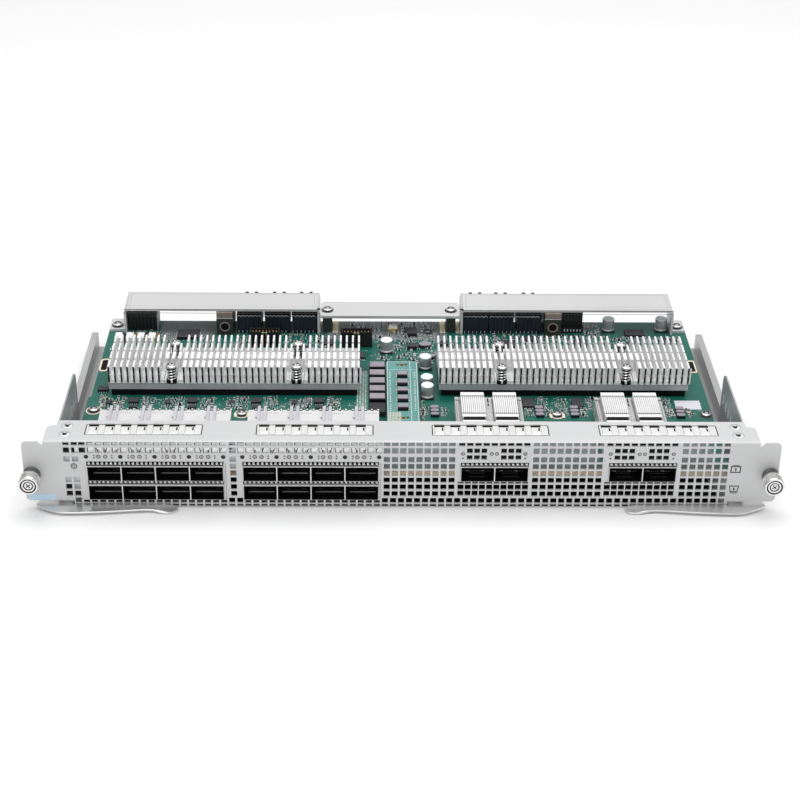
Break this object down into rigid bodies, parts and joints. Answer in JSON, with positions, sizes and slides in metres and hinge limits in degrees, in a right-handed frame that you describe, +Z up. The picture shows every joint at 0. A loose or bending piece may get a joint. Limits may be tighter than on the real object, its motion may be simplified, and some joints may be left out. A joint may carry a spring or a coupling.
{
  "type": "switch line card",
  "caption": "Flat switch card with a perforated face plate, rows of ports, finned heat sinks, bridged rear connectors, ejector levers and captive screws.",
  "frame": {"origin": "centre of the tray's underside, midway between the back of the face plate and the tray's rear edge", "axes": "+X to the right seen from the front, +Y from the face plate to the rear connectors, +Z up off the tray"},
  "size_m": [0.445, 0.225, 0.0451],
  "materials": {
    "plate_steel": "fine satin, zinc plated",
    "tray_steel": "satin",
    "bridge_steel": "satin",
    "gasket_steel": "bright rolled",
    "cage_steel": "nickel plated, satin",
    "clip_steel": "bright rolled",
    "sink_aluminium": "clear anodised",
    "board_laminate": "solder-masked laminate",
    "moulded_black": "moulded",
    "chip_black": "moulded",
    "coil_grey": "pressed powder",
    "filter_white": "moulded",
    "can_aluminium": "sleeved",
    "pipe_clear": "clear moulded",
    "pad_grey": "soft",
    "label_white": "blank label",
    "screw_nickel": "nickel plated",
    "spring_steel": "wire",
    "lever_steel": "polished"
  },
  "bodies": {
    "chassis": {"base_tray": "tray_steel", "board_chips": "chip_black", "board_label": "label_white", "board_screws": "screw_nickel", "box_headers": "moulded_black", "cage_gaskets": "gasket_steel", "capacitors": "can_aluminium", "centre_bar": "bridge_steel", "centre_posts": "bridge_steel", "ejector_pivots": "screw_nickel", "flange_gaskets": "gasket_steel", "front_panel": "plate_steel", "inductors": "coil_grey", "left_backplane_blocks": "moulded_black", "left_bridge": "bridge_steel", "left_guide_module": "moulded_black", "left_heat_sink": "sink_aluminium", "left_lower_cage": "cage_steel", "left_side_plate": "tray_steel", "left_sink_clip": "clip_steel", "left_switch_chip": "chip_black", "left_upper_cage": "cage_steel", "left_wide_cage": "cage_steel", "light_pipes": "pipe_clear", "lower_receptacles": "moulded_black", "main_board": "board_laminate", "mezzanine_board": "board_laminate", "mezzanine_chips": "chip_black", "mezzanine_sockets": "moulded_black", "power_connector": "moulded_black", "power_filters": "filter_white", "right_backplane_blocks": "moulded_black", "right_bridge": "bridge_steel", "right_guide_module": "moulded_black", "right_heat_sink": "sink_aluminium", "right_lower_cage": "cage_steel", "right_side_plate": "tray_steel", "right_sink_clip": "clip_steel", "right_switch_chip": "chip_black", "right_upper_cage": "cage_steel", "right_wide_cage": "cage_steel", "screw_ferrules": "screw_nickel", "screw_springs": "spring_steel", "signal_connector": "moulded_black", "sink_screws": "screw_nickel", "sink_springs": "spring_steel", "standoffs": "screw_nickel", "thermal_pads": "pad_grey", "upper_receptacles": "moulded_black", "wide_receptacles": "moulded_black"},
    "left_ejector": {"left_ejector": "lever_steel"},
    "right_ejector": {"right_ejector": "lever_steel"},
    "left_screw_carriage": {"left_screw_retainer": "screw_nickel"},
    "right_screw_carriage": {"right_screw_retainer": "screw_nickel"},
    "left_thumbscrew": {"left_thumbscrew": "screw_nickel"},
    "right_thumbscrew": {"right_thumbscrew": "screw_nickel"},
    "riding_sink_1": {"riding_sink_1": "sink_aluminium"},
    "riding_sink_2": {"riding_sink_2": "sink_aluminium"},
    "riding_sink_3": {"riding_sink_3": "sink_aluminium"},
    "riding_sink_4": {"riding_sink_4": "sink_aluminium"}
  },
  "joints": [
    {"name": "left_ejector_pivot", "type": "hinge", "parent": "chassis", "child": "left_ejector", "pos_m": [-0.204, -0.0916, 0.0018], "axis": [0, 0, -1], "range_deg": [0, 65]},
    {"name": "right_ejector_pivot", "type": "hinge", "parent": "chassis", "child": "right_ejector", "pos_m": [0.204, -0.0916, 0.0018], "axis": [0, 0, 1], "range_deg": [0, 65]},
    {"name": "left_screw_travel", "type": "slide", "parent": "chassis", "child": "left_screw_carriage", "axis": [0, 1, 0], "range_m": [0, 0.004], "stiffness_N_per_m": 1000, "springref_m": -0.001},
    {"name": "left_screw_turn", "type": "hinge", "parent": "left_screw_carriage", "child": "left_thumbscrew", "pos_m": [-0.2164, -0.1131, 0.0229], "axis": [0, 1, 0], "continuous": true},
    {"name": "right_screw_travel", "type": "slide", "parent": "chassis", "child": "right_screw_carriage", "axis": [0, 1, 0], "range_m": [0, 0.004], "stiffness_N_per_m": 1000, "springref_m": -0.001},
    {"name": "right_screw_turn", "type": "hinge", "parent": "right_screw_carriage", "child": "right_thumbscrew", "pos_m": [0.2164, -0.1131, 0.0229], "axis": [0, 1, 0], "continuous": true},
    {"name": "riding_sink_1_lift", "type": "slide", "parent": "chassis", "child": "riding_sink_1", "axis": [0, 0, 1], "range_m": [0, 0.0005], "stiffness_N_per_m": 2000, "springref_m": -0.001},
    {"name": "riding_sink_2_lift", "type": "slide", "parent": "chassis", "child": "riding_sink_2", "axis": [0, 0, 1], "range_m": [0, 0.0005], "stiffness_N_per_m": 2000, "springref_m": -0.001},
    {"name": "riding_sink_3_lift", "type": "slide", "parent": "chassis", "child": "riding_sink_3", "axis": [0, 0, 1], "range_m": [0, 0.0005], "stiffness_N_per_m": 2000, "springref_m": -0.001},
    {"name": "riding_sink_4_lift", "type": "slide", "parent": "chassis", "child": "riding_sink_4", "axis": [0, 0, 1], "range_m": [0, 0.0005], "stiffness_N_per_m": 2000, "springref_m": -0.001}
  ]
}
